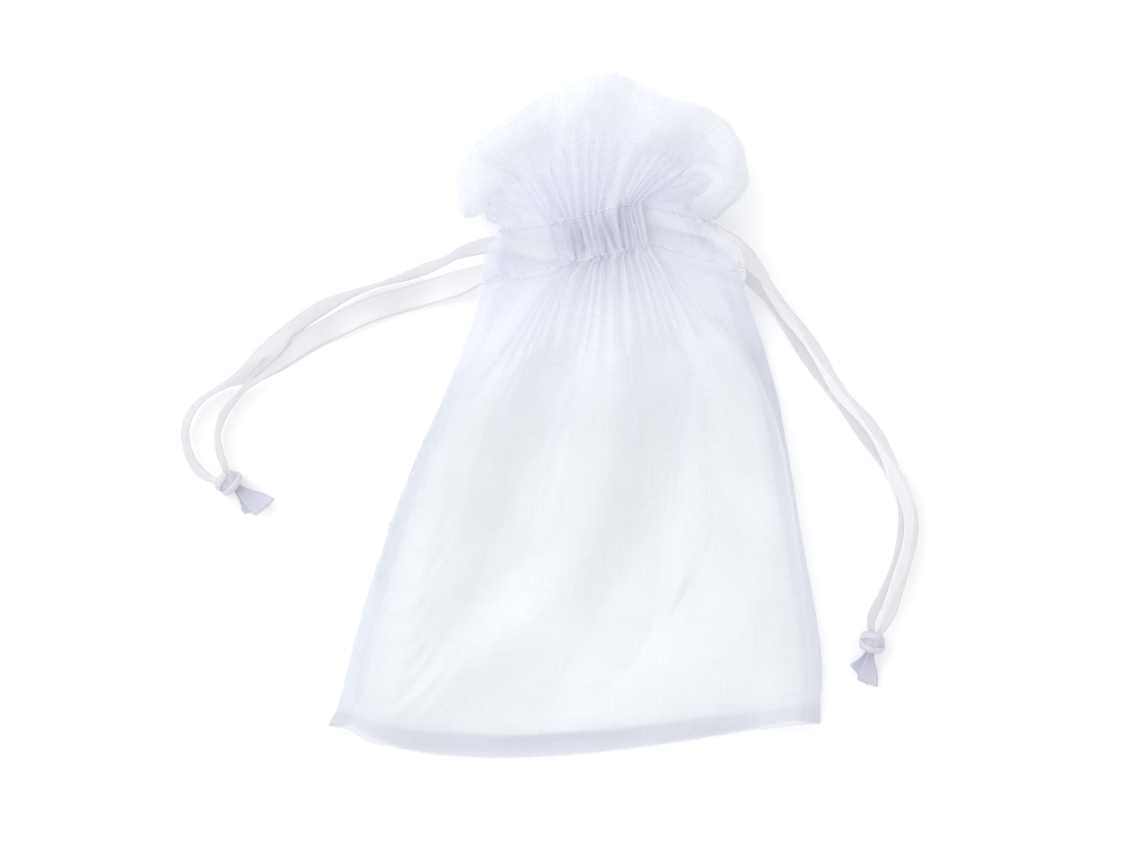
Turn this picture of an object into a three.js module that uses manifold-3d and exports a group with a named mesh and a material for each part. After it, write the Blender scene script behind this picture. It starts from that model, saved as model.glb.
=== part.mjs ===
// A small sheer drawstring gift pouch, lying on its back and drawn closed.
// Millimetres. +Z is up from the surface it lies on, +Y runs from the bottom seam to the frill.
import * as THREE from "three";
import { mergeVertices } from "three/addons/utils/BufferGeometryUtils.js";
import Module from "manifold-3d";

const wasm = await Module();
wasm.setup();

// ---- Driving sizes ----

const BODY_WIDTH = 100; // bottom edge, corner to corner
const BODY_LENGTH = 93; // casing to the middle of the line between the bottom corners
const NECK_RUN = 2.2; // the sides run straight into the casing over this length
const BODY_LEAN = THREE.MathUtils.degToRad(2.3); // the body's centre line leans off -Y by this
const BODY_CROWN = 12.5; // how high the front panel stands at its fullest
const BOTTOM_TILT = THREE.MathUtils.degToRad(0.9);
const BOTTOM_BOW = 23; // scales the bow of the bottom edge, about 7 mm deep
const BOW_AT_LEFT = 0.62; // the lower these two powers, the fuller the bow at that corner
const BOW_AT_RIGHT = 1.2;
const BOW_FADE = 3; // how fast the bow dies out away from the bottom edge
const FULLEST_AT = 0.42; // bottom to neck, where the front panel reaches its crown
const CLOSING_FROM = 0.7; // bottom to neck, where the flat body starts to turn into the neck's oval

const CASING_CENTRE = new THREE.Vector2(1.5, 36.8);
const CASING_TILT = THREE.MathUtils.degToRad(15.6);
const CASING_LENGTH = 8.5; // stitch row to stitch row
const NECK_HALF_WIDTH = 11.2; // outside of the gathered cloth
const NECK_HALF_HEIGHT = 7;
const CHANNEL = 2.2; // room for the ribbons between the casing's two layers

const CLOTH = 0.8; // one layer with its gathers
const FRILL_CLOTH = 1.2; // the frill is a folded double layer
const THREAD = 0.8; // a stitch row
const SEAM_WIDTH = 4; // side and bottom seams
const SEAM_WIDTH_AT_NECK = 1.2;
const SEAM_NARROWS = [0.6, 0.95]; // bottom to neck, where its width changes
const FRILL_RUN = 4; // the frill leaves the casing straight and flares over about this length
const FRILL_RIM_HEIGHT = 10; // top of the front frill at its rim
const RIM_MIDDLE = 4; // height of the rim's two ends, where front and back meet
const RIM_WAVES = 5;
const RIM_WAVE = 1.2;
const FRILL_GAP = 1; // between its two halves along their side edges
const SLEEVE_CLEARANCE = 0.9; // room over and under the two strands, the cloth included

const STRAND = 2.4; // diameter of a ribbon gathered to a cord
const KNOT = new THREE.Vector3(3.9, 2.7, 2.2); // half sizes: along the ribbon, across, up
const TAIL_LENGTH = 6;
const TAIL_WIDTH = 4.4;
const TAIL_THICKNESS = 0.8;
const TAIL_ROOT_WIDTH = 2.9; // where it leaves the knot
const TAIL_SLANT = 1.2; // how far its cut end slopes

const GAP = 0.3; // between pieces that touch

// How rounded a piece is across its width: 1 is a flat lens, 0.5 an ellipse, and lower is boxier.
const LENS = 1;
const ELLIPSE = 0.5;
const BOXY = 0.2;

// Rows and columns of the surfaces.
const PANEL_COLUMNS = 12;
const PANEL_ROWS = 8; // in each of its two stretches
const PANEL_FINER_FROM = 0.62; // bottom to neck, where the rows get closer
const SIDE_SEAM_ROWS = 20;
const BOTTOM_SEAM_COLUMNS = 24;
const OVAL_SIDES = 32;
const FRILL_COLUMNS = 28;
const FRILL_ROWS = 5;
const SLEEVE_COLUMNS = 10;
const SLEEVE_ROWS = 3;
const STRAND_SIDES = 8;
const STRAND_STEP = 2.2 * STRAND; // between its rings

// ---- Sizes that follow ----

const NECK_HEIGHT = NECK_HALF_HEIGHT; // height of the neck's centre, because the neck rests on the surface
const SEAM_THICKNESS = 2 * CLOTH + GAP;
const SEAM_MIDDLE = SEAM_THICKNESS / 2;
const NECK_END = CASING_LENGTH / 2 + GAP + THREAD + GAP; // casing centre to where body and frill begin
const LANE = (CASING_LENGTH - 2 * CLOTH - 3 * GAP) / 2; // each ribbon's share of the channel's length
const LANE_CENTRE = (LANE + GAP) / 2;
const STRAND_RISE = (STRAND + GAP) / 2; // a ribbon's two strands leave the casing one over the other
const STRAND_SLOT = STRAND_RISE + STRAND / 2 + GAP; // half height of the slot they leave through

const NECK_ACROSS = new THREE.Vector2(Math.cos(CASING_TILT), Math.sin(CASING_TILT));
const NECK_ALONG = new THREE.Vector2(-Math.sin(CASING_TILT), Math.cos(CASING_TILT));

// A point of the neck: across it, and along it towards the frill.
function atNeck(across, along) {
  return CASING_CENTRE.clone().addScaledVector(NECK_ACROSS, across).addScaledVector(NECK_ALONG, along);
}

// ---- Outlines, seen from above ----

// Each side bulges out from the straight line between the neck and its bottom corner.
// [distance from the neck as a share of that line, bulge]
const LEFT_BULGE = [
  [0, 0],
  [0.05, 4.6],
  [0.11, 7.8],
  [0.19, 8.9],
  [0.41, 8.5],
  [0.65, 6.2],
  [0.9, 1.8],
  [1, 0],
];
const RIGHT_BULGE = [
  [0, 0],
  [0.05, 4.4],
  [0.12, 10.4],
  [0.19, 12.3],
  [0.35, 12.2],
  [0.64, 8.6],
  [0.9, 5],
  [1, 0],
];

// The frill's rim, from its lower left end round the top to its lower right end.
// [across the neck in half widths of it, distance past where the frill begins]
const FRILL_RIM = [
  [-1.88, 3.2],
  [-2.18, 8],
  [-2.16, 11.3],
  [-1.68, 18.3],
  [-1.1, 20.4],
  [-0.43, 23.6],
  [0.25, 24.9],
  [0.78, 25.4],
  [1.24, 22.1],
  [1.61, 17.8],
  [2.18, 15],
  [2.64, 10.2],
  [2.71, 3.2],
  [2.67, -1.7],
  [1.8, -5.6],
];

// The two corners of each sleeve's mouth: [out from the neck's side, along the neck].
const LEFT_SLEEVE_MOUTH = [
  [14.8, -4.8],
  [7.8, 6.8],
];
const RIGHT_SLEEVE_MOUTH = [
  [17.3, -6.1],
  [11, -11.8],
];

// ---- Ribbon ends and routes, chosen point by point: each starts in the casing and ends at its knot ----

const HIGH = NECK_HEIGHT + STRAND_RISE;
const LOW = NECK_HEIGHT - STRAND_RISE;
const FLOOR = STRAND / 2 + GAP;
const STACKED = FLOOR + STRAND + GAP;

const LEFT_KNOT = { x: -71.5, y: -15.6, heading: -40 };
const RIGHT_KNOT = { x: 59.1, y: -43.6, heading: -104 };

const LEFT_UPPER_ROUTE = [
  [-6.6, 33, HIGH],
  [-10.2, 32.8, HIGH],
  [-14, 33.6, HIGH],
  [-18.4, 34.5, HIGH],
  [-24.5, 33.2, 6.6],
  [-31, 30.4, 4],
  [-38.2, 27.4, 2],
  [-47, 24.3, FLOOR],
  [-53.2, 21.4, 1.7],
  [-58.8, 17.4, 3.2],
  [-64.6, 11.4, STACKED],
  [-70, 6, STACKED],
  [-75, 3.4, 2.4],
  [-79, 0.3, FLOOR],
  [-81.2, -4.2, FLOOR],
  [-80.9, -8.6, FLOOR],
  [-79, -12.6, 1.4],
  [-75.6, -15.2, 1.9],
];
const LEFT_LOWER_ROUTE = [
  [-6.6, 33, LOW],
  [-10, 32.1, LOW],
  [-13.2, 31.3, LOW],
  [-17, 30, LOW],
  [-21.3, 28.7, LOW],
  [-28, 26, 3.2],
  [-35.9, 23.4, FLOOR],
  [-44.7, 20.4, FLOOR],
  [-51.5, 17, FLOOR],
  [-58.1, 13.2, FLOOR],
  [-64.8, 8.4, FLOOR],
  [-70.6, 2.6, FLOOR],
  [-73.6, -1.6, FLOOR],
  [-74.7, -5.6, FLOOR],
  [-74.3, -9.2, FLOOR],
  [-73.4, -11.8, 1.7],
];
const RIGHT_OUTER_ROUTE = [
  [9.9, 40.9, HIGH],
  [13.6, 40.1, HIGH],
  [18.3, 39.2, HIGH],
  [23.6, 38, HIGH],
  [28.4, 35.1, HIGH],
  [33.4, 30.6, 6],
  [38.7, 25, 3.4],
  [43.8, 18.3, FLOOR],
  [50.6, 8.8, FLOOR],
  [57.6, 0.4, FLOOR],
  [62.2, -6.3, FLOOR],
  [65.6, -12.6, FLOOR],
  [67, -18.6, FLOOR],
  [66.2, -26, FLOOR],
  [63.6, -34.4, 1.7],
  [61.7, -39.3, 2.2],
];
const RIGHT_INNER_ROUTE = [
  [9.9, 40.9, LOW],
  [13.6, 40.1, LOW],
  [18.3, 38.9, LOW],
  [23.2, 37.4, LOW],
  [27.7, 34.6, LOW],
  [31.8, 29.4, 3.6],
  [36.6, 23.2, 1.9],
  [41.5, 16.6, FLOOR],
  [48.3, 7.2, FLOOR],
  [55.3, -1.2, FLOOR],
  [59.8, -7.6, FLOOR],
  [62.8, -13.4, FLOOR],
  [64, -18.8, FLOOR],
  [63.3, -25.4, FLOOR],
  [61, -32.6, FLOOR],
  [58.7, -39, 1.9],
];

// ---- Materials ----

const organza = new THREE.MeshStandardMaterial({ color: 0xf0f2fa, roughness: 0.6, metalness: 0 });
const gatheredOrganza = new THREE.MeshStandardMaterial({ color: 0xdcdff2, roughness: 0.6, metalness: 0 });
const thread = new THREE.MeshStandardMaterial({ color: 0xe6e8f4, roughness: 0.5, metalness: 0 });
const satin = new THREE.MeshStandardMaterial({ color: 0xf3f3f8, roughness: 0.3, metalness: 0 });

// ---- Helpers ----

function solidOf(geometry) {
  const bare = geometry.clone();
  bare.deleteAttribute("normal");
  bare.deleteAttribute("uv");
  const merged = mergeVertices(bare, 1e-4);
  return new wasm.Manifold(
    new wasm.Mesh({
      numProp: 3,
      vertProperties: new Float32Array(merged.attributes.position.array),
      triVerts: new Uint32Array(merged.index.array),
    }),
  );
}

function geometryOf(solid) {
  const { vertProperties, triVerts } = solid.getMesh();
  return new THREE.BufferGeometry()
    .setAttribute("position", new THREE.BufferAttribute(vertProperties, 3))
    .setIndex(new THREE.BufferAttribute(triVerts, 1));
}

function named(name, geometry, material) {
  const mesh = new THREE.Mesh(geometry, material);
  mesh.name = name;
  return mesh;
}

// A point of the plan, at height 0.
function flat(point) {
  return new THREE.Vector3(point.x, point.y, 0);
}

// Shares from 0 to 1, closer together at both ends.
function eased(count) {
  return Array.from({ length: count + 1 }, (_, i) => (1 - Math.cos((Math.PI * i) / count)) / 2);
}

function even(count, from = 0, to = 1) {
  return Array.from({ length: count + 1 }, (_, i) => THREE.MathUtils.lerp(from, to, i / count));
}

// A closed sheet of cloth: its inner face is surface(u, v), and its outer face is thickness away,
// on the side that side = 1 or -1 picks. Its edge on the neck stays square to the neck.
function sheet(surface, us, vs, thickness, side, neckV) {
  const step = 1e-3;
  const square = new THREE.Vector3(NECK_ALONG.x, NECK_ALONG.y, 0);
  const inner = [];
  const outer = [];
  for (const v of vs) {
    for (const u of us) {
      const here = surface(u, v);
      const [u0, u1] = [Math.max(u - step, 0), Math.min(u + step, 1)];
      const [v0, v1] = [Math.max(v - step, 0), Math.min(v + step, 1)];
      const across = surface(u1, v).sub(surface(u0, v));
      const lengthways = surface(u, v1).sub(surface(u, v0));
      const normal = across.cross(lengthways);
      if (v === neckV) normal.addScaledVector(square, -normal.dot(square));
      normal.normalize().multiplyScalar(side * thickness);
      inner.push(here);
      outer.push(here.clone().add(normal));
    }
  }
  return closedGrid(inner, outer, us.length, side);
}

// Joins two grids of points, row by row, into one closed surface.
function closedGrid(inner, outer, columns, side) {
  const rows = inner.length / columns;
  const points = [...inner, ...outer];
  const faces = [];
  const quad = (a, b, c, d) => faces.push(...(side > 0 ? [a, b, c, a, c, d] : [a, c, b, a, d, c]));
  const at = (row, column, face) => row * columns + column + face * inner.length;
  for (let r = 0; r < rows - 1; r++) {
    for (let c = 0; c < columns - 1; c++) {
      quad(at(r, c, 1), at(r, c + 1, 1), at(r + 1, c + 1, 1), at(r + 1, c, 1));
      quad(at(r, c, 0), at(r + 1, c, 0), at(r + 1, c + 1, 0), at(r, c + 1, 0));
    }
  }
  for (let r = 0; r < rows - 1; r++) {
    quad(at(r, 0, 0), at(r, 0, 1), at(r + 1, 0, 1), at(r + 1, 0, 0));
    quad(at(r, columns - 1, 1), at(r, columns - 1, 0), at(r + 1, columns - 1, 0), at(r + 1, columns - 1, 1));
  }
  for (let c = 0; c < columns - 1; c++) {
    quad(at(0, c, 0), at(0, c + 1, 0), at(0, c + 1, 1), at(0, c, 1));
    quad(at(rows - 1, c, 1), at(rows - 1, c + 1, 1), at(rows - 1, c + 1, 0), at(rows - 1, c, 0));
  }
  return new THREE.BufferGeometry()
    .setAttribute("position", new THREE.Float32BufferAttribute(points.flatMap((p) => p.toArray()), 3))
    .setIndex(faces);
}

// Rounded profile across a piece of cloth: 0 at both sides, 1 in the middle.
function dome(u, power) {
  return Math.max(0, 1 - (2 * u - 1) ** 2) ** power;
}

// ---- Body ----

const bodyTop = atNeck(0, -NECK_END);
const bodyDown = new THREE.Vector2(-Math.sin(BODY_LEAN), -Math.cos(BODY_LEAN));
const bottomMiddle = bodyTop.clone().addScaledVector(bodyDown, BODY_LENGTH);
const bottomAcross = new THREE.Vector2(Math.cos(BOTTOM_TILT), Math.sin(BOTTOM_TILT));

// One side of the body, from its bottom corner (v = 0) to the neck (v = 1).
function bodySide(sign, bulges) {
  const halfWidth = NECK_HALF_WIDTH + GAP + SEAM_WIDTH_AT_NECK;
  const neckCorner = atNeck(sign * halfWidth, -NECK_END - NECK_RUN);
  const bottomCorner = bottomMiddle.clone().addScaledVector(bottomAcross, (sign * BODY_WIDTH) / 2);
  const line = bottomCorner.clone().sub(neckCorner);
  const outwards = new THREE.Vector2(-line.y, line.x).normalize().multiplyScalar(sign);
  const plan = bulges.map(([share, bulge]) =>
    neckCorner.clone().addScaledVector(line, share).addScaledVector(outwards, bulge),
  );
  plan.unshift(neckCorner.clone().addScaledVector(NECK_ALONG, NECK_RUN));
  const points = plan.map((at) => new THREE.Vector3(at.x, at.y, 0));
  return new THREE.CatmullRomCurve3(points.reverse(), false, "centripetal");
}

const leftSide = bodySide(-1, LEFT_BULGE);
const rightSide = bodySide(1, RIGHT_BULGE);
const SIDE_LENGTH = (leftSide.getLength() + rightSide.getLength()) / 2;

// How far the body has turned from a flat lens (0) into the neck's oval (1).
function closing(v) {
  return THREE.MathUtils.smoothstep(v, CLOSING_FROM, 1);
}

function seamHeight(v) {
  return THREE.MathUtils.lerp(SEAM_MIDDLE, NECK_HEIGHT, closing(v));
}

function seamWidth(v) {
  return THREE.MathUtils.lerp(SEAM_WIDTH, SEAM_WIDTH_AT_NECK, THREE.MathUtils.smoothstep(v, ...SEAM_NARROWS));
}

// Height of the front panel's inner face along its middle.
function crown(v) {
  const full = BODY_CROWN - CLOTH;
  const neck = 2 * NECK_HALF_HEIGHT - CLOTH;
  const rise = THREE.MathUtils.smoothstep(v, SEAM_WIDTH / SIDE_LENGTH, FULLEST_AT);
  return THREE.MathUtils.lerp(THREE.MathUtils.lerp(SEAM_MIDDLE + GAP / 2, full, rise), neck, closing(v));
}

// A point at a distance inside one side edge, square to it.
function insideEdge(sign, v, distance) {
  const side = sign < 0 ? leftSide : rightSide;
  const tangent = side.getTangentAt(v);
  const inwards = new THREE.Vector3(tangent.y, -tangent.x, 0).multiplyScalar(-sign * distance);
  return side.getPointAt(v).add(inwards);
}

// A point of the body's plan, inset from both side edges.
function bodyPlan(u, v, inset) {
  const point = insideEdge(-1, v, inset).lerp(insideEdge(1, v, inset), u);
  point.y -= BOTTOM_BOW * u ** BOW_AT_LEFT * (1 - u) ** BOW_AT_RIGHT * (1 - v) ** BOW_FADE;
  return point;
}

function panelSurface(side) {
  return (u, v) => {
    const point = bodyPlan(u, v, seamWidth(v) + GAP + CLOTH);
    const edge = seamHeight(v) + (side * GAP) / 2;
    const middle = side > 0 ? crown(v) : CLOTH;
    point.z = THREE.MathUtils.lerp(edge, middle, dome(u, THREE.MathUtils.lerp(LENS, ELLIPSE, closing(v))));
    return point;
  };
}

const PANEL_FROM = (SEAM_WIDTH + GAP) / SIDE_LENGTH;

function panel(name, side) {
  const wide = even(PANEL_ROWS, PANEL_FROM, PANEL_FINER_FROM);
  const fine = even(PANEL_ROWS, PANEL_FINER_FROM, 1).slice(1);
  const rows = [...wide, ...fine];
  const cloth = sheet(panelSurface(side), eased(PANEL_COLUMNS), rows, CLOTH, side, 1);
  return named(name, cloth, organza);
}

// A seam is a flat band of both cloths sewn together. place(across, along) runs over it from 0 to 1.
function seam(name, place, columns, rows, material) {
  const surface = (face) => (u, v) => {
    const point = place(u, v);
    point.z += (face * SEAM_THICKNESS) / 2;
    return point;
  };
  const grid = (face) => rows.flatMap((v) => columns.map((u) => surface(face)(u, v)));
  return named(name, closedGrid(grid(-1), grid(1), columns.length, 1), material);
}

function sideSeam(name, sign) {
  const place = (u, v) => {
    const distance = seamWidth(v) * (sign < 0 ? u : 1 - u);
    const point = insideEdge(sign, v, distance);
    point.z = seamHeight(v);
    return point;
  };
  return seam(name, place, [0, 1], even(SIDE_SEAM_ROWS), organza);
}

function bottomSeam() {
  const place = (u, v) => {
    const point = bodyPlan(u, (v * SEAM_WIDTH) / SIDE_LENGTH, SEAM_WIDTH + GAP);
    point.z = SEAM_MIDDLE;
    return point;
  };
  return seam("bottom_seam", place, even(BOTTOM_SEAM_COLUMNS), [0, 1], organza);
}

// ---- Neck: drawn in its own frame, x across, y up, z towards the body ----

function oval(halfWidth, halfHeight) {
  const ellipse = new THREE.Path().absellipse(0, 0, halfWidth, halfHeight, 0, 2 * Math.PI);
  return ellipse.getPoints(OVAL_SIDES).slice(0, -1);
}

// A tube of oval section whose outer face is inset from the neck's outside.
function neckRing(inset, wall, length, offset = 0) {
  const shape = new THREE.Shape(oval(NECK_HALF_WIDTH - inset, NECK_HALF_HEIGHT - inset));
  const hole = inset + wall;
  shape.holes.push(new THREE.Path(oval(NECK_HALF_WIDTH - hole, NECK_HALF_HEIGHT - hole)));
  const ring = new THREE.ExtrudeGeometry(shape, { depth: length, bevelEnabled: false });
  return solidOf(ring.translate(0, 0, offset - length / 2));
}

function block(width, height, depth, x, y, z) {
  return solidOf(new THREE.BoxGeometry(width, height, depth).translate(x, y, z));
}

// The slots at both ends of the casing through which the strands leave.
function strandSlots(length) {
  const inside = NECK_HALF_WIDTH - CLOTH - CHANNEL + GAP;
  const width = NECK_HALF_WIDTH;
  return [-1, 1]
    .map((sign) => block(width, 2 * STRAND_SLOT, length, sign * (inside + width / 2), 0, 0))
    .reduce((both, slot) => both.add(slot));
}

function casing() {
  const channelLength = CASING_LENGTH - 2 * CLOTH;
  const layers = neckRing(0, 2 * CLOTH + CHANNEL, CASING_LENGTH);
  const hollow = neckRing(CLOTH, CHANNEL, channelLength);
  return layers.subtract(hollow).subtract(strandSlots(channelLength));
}

function casingHalf(name, side) {
  const tall = 4 * NECK_HALF_HEIGHT;
  const keep = block(4 * NECK_HALF_WIDTH, tall, 2 * CASING_LENGTH, 0, (side * (tall + GAP)) / 2, 0);
  return named(name, geometryOf(casing().intersect(keep)), gatheredOrganza);
}

function stitchRow(name, sign) {
  const offset = sign * (CASING_LENGTH / 2 + GAP + THREAD / 2);
  return named(name, geometryOf(neckRing(0, THREAD, THREAD, offset)), thread);
}

// The ribbon's loop inside the channel, open on the side where its two strands leave.
function ribbonLoop(name, openSide, lane) {
  const ring = neckRing(CLOTH + GAP, CHANNEL - 2 * GAP, LANE, lane);
  const opening = block(NECK_HALF_WIDTH, 2 * STRAND_SLOT, 2 * LANE, openSide * NECK_HALF_WIDTH, 0, lane);
  return named(name, geometryOf(ring.subtract(opening)), satin);
}

function neck() {
  const upright = new THREE.Group();
  upright.rotation.x = Math.PI / 2;
  upright.add(
    casingHalf("front_casing", 1),
    casingHalf("back_casing", -1),
    stitchRow("lower_stitch_row", 1),
    stitchRow("upper_stitch_row", -1),
    ribbonLoop("left_ribbon_loop", -1, LANE_CENTRE),
    ribbonLoop("right_ribbon_loop", 1, -LANE_CENTRE),
  );
  const placed = new THREE.Group();
  placed.position.set(CASING_CENTRE.x, CASING_CENTRE.y, NECK_HEIGHT);
  placed.rotation.z = CASING_TILT;
  placed.add(upright);
  return placed;
}

// ---- Frill ----

const rim = new THREE.CatmullRomCurve3(
  FRILL_RIM.map(([across, past]) => flat(atNeck(across * NECK_HALF_WIDTH, NECK_END + past))),
  false,
  "centripetal",
);
function frillSurface(side) {
  return (u, v) => {
    const across = (2 * u - 1) * (NECK_HALF_WIDTH - FRILL_CLOTH);
    const point = new THREE.QuadraticBezierCurve3(
      flat(atNeck(across, NECK_END)),
      flat(atNeck(across, NECK_END + FRILL_RUN)),
      rim.getPointAt(u),
    ).getPoint(v);
    const wave = RIM_WAVE * v * Math.sin(2 * Math.PI * RIM_WAVES * u);
    const edge = THREE.MathUtils.lerp(NECK_HEIGHT, RIM_MIDDLE, v) + (side * FRILL_GAP) / 2;
    const top = THREE.MathUtils.lerp(2 * NECK_HALF_HEIGHT, FRILL_RIM_HEIGHT, v) - FRILL_CLOTH + wave;
    point.z = THREE.MathUtils.lerp(edge, side > 0 ? top : FRILL_CLOTH, dome(u, ELLIPSE));
    return point;
  };
}

function frill(name, side) {
  const cloth = sheet(frillSurface(side), eased(FRILL_COLUMNS), even(FRILL_ROWS), FRILL_CLOTH, side, 0);
  return named(name, cloth, organza);
}

// ---- Sleeves: the casing's drawn-out corners round the strands ----

const SLEEVE_HALF_HEIGHT = STRAND_SLOT + SLEEVE_CLEARANCE;
const SLEEVE_ROOT = CASING_LENGTH / 2 - GAP; // half its width where it leaves the casing

// u runs across the sleeve and v out of the casing. side is 1 for its front half.
function sleeve(name, sign, mouth, side) {
  const [first, last] = mouth.map(([out, along]) => flat(atNeck(sign * (NECK_HALF_WIDTH + out), along)));
  const surface = (u, v) => {
    const root = atNeck(sign * (NECK_HALF_WIDTH + 2 * GAP), sign * (1 - 2 * u) * SLEEVE_ROOT);
    const point = flat(root).lerp(first.clone().lerp(last, u), v);
    point.z = NECK_HEIGHT + side * (GAP / 2 + SLEEVE_HALF_HEIGHT * dome(u, BOXY));
    return point;
  };
  const cloth = sheet(surface, eased(SLEEVE_COLUMNS), even(SLEEVE_ROWS), CLOTH, -side, null);
  return named(name, cloth, gatheredOrganza);
}

// ---- Ribbons ----

function circle(diameter, sides) {
  const turn = (2 * Math.PI) / sides;
  const corner = (i) => new THREE.Vector2(Math.cos(i * turn), Math.sin(i * turn)).multiplyScalar(diameter / 2);
  return new THREE.Shape(Array.from({ length: sides }, (_, i) => corner(i)));
}

function strand(name, route) {
  const path = new THREE.CatmullRomCurve3(route.map((point) => new THREE.Vector3(...point)));
  const steps = Math.round(path.getLength() / STRAND_STEP);
  const tube = new THREE.ExtrudeGeometry(circle(STRAND, STRAND_SIDES), { steps, extrudePath: path });
  return named(name, tube, satin);
}

function knot(name, place) {
  const blob = new THREE.SphereGeometry(1, 12, 8).rotateX(Math.PI / 2).scale(KNOT.x, KNOT.y, KNOT.z);
  const mesh = named(name, blob, satin);
  mesh.position.set(place.x, place.y, KNOT.z);
  mesh.rotation.z = THREE.MathUtils.degToRad(place.heading);
  return mesh;
}

// A cut ribbon end past the knot, one of two that lie one on the other.
function tail(name, place, layer) {
  const from = KNOT.x + GAP;
  const to = from + TAIL_LENGTH;
  const outline = new THREE.Shape([
    new THREE.Vector2(from, -TAIL_ROOT_WIDTH / 2),
    new THREE.Vector2(to, -TAIL_WIDTH / 2),
    new THREE.Vector2(to - TAIL_SLANT, TAIL_WIDTH / 2),
    new THREE.Vector2(from, TAIL_ROOT_WIDTH / 2),
  ]);
  const strip = new THREE.ExtrudeGeometry(outline, { depth: TAIL_THICKNESS, bevelEnabled: false });
  const mesh = named(name, strip, satin);
  mesh.position.set(place.x, place.y, layer * (TAIL_THICKNESS + GAP));
  mesh.rotation.z = THREE.MathUtils.degToRad(place.heading);
  return mesh;
}

function ribbonEnd(side, strands, place) {
  const group = new THREE.Group();
  group.add(knot(side + "_knot", place));
  strands.forEach((name, layer) => group.add(tail(side + "_" + name + "_tail", place, layer)));
  return group;
}

// ---- The pouch ----

const pouch = new THREE.Group();
pouch.add(
  panel("back_panel", -1),
  panel("front_panel", 1),
  sideSeam("left_side_seam", -1),
  sideSeam("right_side_seam", 1),
  bottomSeam(),
  neck(),
  frill("front_frill", 1),
  frill("back_frill", -1),
  sleeve("left_front_sleeve", -1, LEFT_SLEEVE_MOUTH, 1),
  sleeve("left_back_sleeve", -1, LEFT_SLEEVE_MOUTH, -1),
  sleeve("right_front_sleeve", 1, RIGHT_SLEEVE_MOUTH, 1),
  sleeve("right_back_sleeve", 1, RIGHT_SLEEVE_MOUTH, -1),
  strand("left_upper_strand", LEFT_UPPER_ROUTE),
  strand("left_lower_strand", LEFT_LOWER_ROUTE),
  ribbonEnd("left", ["lower", "upper"], LEFT_KNOT),
  strand("right_outer_strand", RIGHT_OUTER_ROUTE),
  strand("right_inner_strand", RIGHT_INNER_ROUTE),
  ribbonEnd("right", ["inner", "outer"], RIGHT_KNOT),
);

export default pouch;
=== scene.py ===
"""Looks for the drawstring gift pouch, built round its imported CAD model.

The cloth is one closed tube of organza, 100 mm wide laid flat. It is gathered to the casing that the CAD
model gives, relaxed by a small cloth solver, and then divided into the pieces that stand for the CAD nodes.
Cloth sizes and routes are in millimetres, and meshes are made in metres.
"""

import math

import bpy
import numpy as np
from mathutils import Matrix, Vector


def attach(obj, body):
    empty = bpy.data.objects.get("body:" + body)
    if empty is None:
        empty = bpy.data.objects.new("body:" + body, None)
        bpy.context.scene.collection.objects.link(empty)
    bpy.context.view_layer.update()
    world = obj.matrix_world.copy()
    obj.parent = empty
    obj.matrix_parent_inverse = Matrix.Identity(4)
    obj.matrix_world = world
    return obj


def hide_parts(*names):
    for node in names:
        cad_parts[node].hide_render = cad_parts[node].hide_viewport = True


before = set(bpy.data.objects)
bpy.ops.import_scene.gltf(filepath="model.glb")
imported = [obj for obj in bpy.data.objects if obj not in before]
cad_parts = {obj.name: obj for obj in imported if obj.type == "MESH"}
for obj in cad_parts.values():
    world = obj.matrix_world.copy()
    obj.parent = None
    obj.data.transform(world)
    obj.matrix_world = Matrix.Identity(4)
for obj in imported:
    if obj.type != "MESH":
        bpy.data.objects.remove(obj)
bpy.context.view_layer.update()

MM = 0.001

# ---- Sizes, in millimetres ----

CLOTH_WIDTH = 100.0  # the pouch laid flat, seam to seam
BODY_CLOTH = 101.0  # bottom seam to casing
CASING_CLOTH = 10.5  # stitch row to stitch row, before it bunches up
CASING_LENGTH = 8.5  # stitch row to stitch row, gathered
FRILL_CLOTH = 31.0  # casing to the folded rim
PLEATS = 42  # all round the neck
NECK_TILT = math.radians(15.6)
NECK_CENTRE = np.array([1.5, 36.8, 7.0])
NECK_HALF = np.array([11.2, 7.0])  # outside of the gathers: across, up
PLEAT_DEPTH = 2.5
PLEAT_LEAN = 0.06  # how far the gathers wander sideways, in pleats to a millimetre along

RIBBON_WIDTH = 5.0
RIBBON_THICKNESS = 0.28
SEAM_WIDTH = 4.2  # of the seam allowance inside the side and bottom edges

PULL_LEFT = "left_drawstring"
PULL_RIGHT = "right_drawstring"
POUCH = "pouch"

# ---- Ribbon routes: the same points as the CAD model's, in metres ----

HIGH, LOW = 8.35, 5.65
FLOOR, STACKED = 1.5, 4.2


def metres(points):
    return [tuple(value * MM for value in point) for point in points]


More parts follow.
